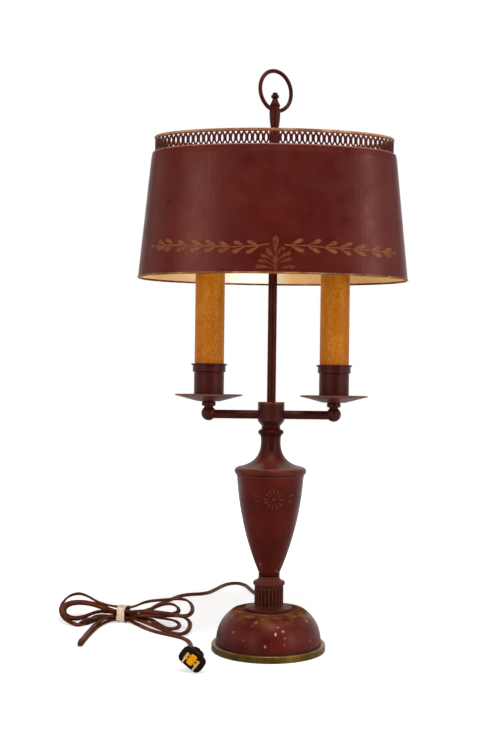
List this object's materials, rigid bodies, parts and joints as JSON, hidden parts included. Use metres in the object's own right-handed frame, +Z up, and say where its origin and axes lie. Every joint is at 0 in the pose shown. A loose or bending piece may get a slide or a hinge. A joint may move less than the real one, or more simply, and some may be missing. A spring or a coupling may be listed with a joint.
{
  "type": "bouillotte table lamp",
  "caption": "Table lamp with a round weighted foot, urn stem, fixed candle arms with drip pans, and an oval metal shade that slides on a centre rod under a ring finial.",
  "frame": {"origin": "centre of the foot on the table", "axes": "+Z up the centre rod, +X along the candle arms to the right, +Y to the back, where the cord leaves the foot"},
  "size_m": [0.3969, 0.4747, 0.625],
  "materials": {
    "maroon_paint": "satin, chipped at the edges",
    "shade_paint": "satin outside, cream inside",
    "aged_brass": "dull, aged",
    "gilt_trim": "worn gilt",
    "felt": "matt felt",
    "iron": "as cast",
    "steel": "zinc plated",
    "candle_amber": "waxed, speckled",
    "phenolic": "moulded",
    "shell_brass": "bright",
    "bulb_glass": "clear",
    "bulb_metal": "rolled",
    "cord_vinyl": "soft vinyl",
    "tie_paper": "matt",
    "plug_black": "moulded",
    "plug_card": "pressed card",
    "blade_brass": "bright"
  },
  "bodies": {
    "lamp": {"base_felt": "felt", "base_ring": "aged_brass", "base_dome": "maroon_paint", "base_weight": "iron", "base_washer": "steel", "pipe_nuts": "steel", "stem_pipe": "steel", "check_ring": "maroon_paint", "fluted_column": "maroon_paint", "column_cap": "maroon_paint", "vase_bead": "maroon_paint", "vase_body": "maroon_paint", "vase_lid": "maroon_paint", "neck_bead": "maroon_paint", "arm_hub": "maroon_paint", "hub_rim": "gilt_trim", "inner_wire": "cord_vinyl", "left_arm_tube": "maroon_paint", "left_arm_ball": "maroon_paint", "left_cup_collar": "maroon_paint", "left_drip_pan": "maroon_paint", "left_candle_cup": "maroon_paint", "left_candle_sleeve": "candle_amber", "left_socket_post": "steel", "left_socket": "phenolic", "left_screw_shell": "shell_brass", "left_bulb_glass": "bulb_glass", "left_bulb_cap": "bulb_metal", "right_arm_tube": "maroon_paint", "right_arm_ball": "maroon_paint", "right_cup_collar": "maroon_paint", "right_drip_pan": "maroon_paint", "right_candle_cup": "maroon_paint", "right_candle_sleeve": "candle_amber", "right_socket_post": "steel", "right_socket": "phenolic", "right_screw_shell": "shell_brass", "right_bulb_glass": "bulb_glass", "right_bulb_cap": "bulb_metal", "centre_rod": "maroon_paint", "finial_neck": "maroon_paint", "cord_bushing": "plug_black", "cord_lead": "cord_vinyl", "cord_hank": "cord_vinyl", "cord_tail": "cord_vinyl", "cord_tie": "tie_paper", "plug_body": "plug_black", "plug_insulator": "plug_card", "plug_blades": "blade_brass"},
    "shade_lift": {"shade_collar": "steel"},
    "lift_screw": {"collar_screw": "aged_brass"},
    "shade": {"shade_spider": "steel", "shade_body": "shade_paint", "shade_bead": "gilt_trim", "gallery": "gilt_trim", "gallery_rim": "gilt_trim"},
    "finial": {"finial": "maroon_paint", "finial_ring": "aged_brass"},
    "left_key": {"left_switch_key": "phenolic"},
    "right_key": {"right_switch_key": "phenolic"}
  },
  "joints": [
    {"name": "shade_slide", "type": "slide", "parent": "lamp", "child": "shade_lift", "axis": [0, 0, 1], "range_m": [-0.1, 0]},
    {"name": "shade_turn", "type": "hinge", "parent": "shade_lift", "child": "shade", "pos_m": [0, 0, 0.531], "axis": [0, 0, 1], "range_deg": [-10, 10]},
    {"name": "screw_turn", "type": "hinge", "parent": "shade_lift", "child": "lift_screw", "pos_m": [0, 0.012, 0.5208], "axis": [0, 1, 0], "range_deg": [0, 360]},
    {"name": "finial_turn", "type": "hinge", "parent": "lamp", "child": "finial", "pos_m": [0, 0, 0.5608], "axis": [0, 0, 1], "continuous": true},
    {"name": "left_key_turn", "type": "hinge", "parent": "lamp", "child": "left_key", "pos_m": [-0.05, 0, 0.413], "axis": [1, 0, 0], "continuous": true},
    {"name": "right_key_turn", "type": "hinge", "parent": "lamp", "child": "right_key", "pos_m": [0.05, 0, 0.413], "axis": [1, 0, 0], "continuous": true}
  ]
}
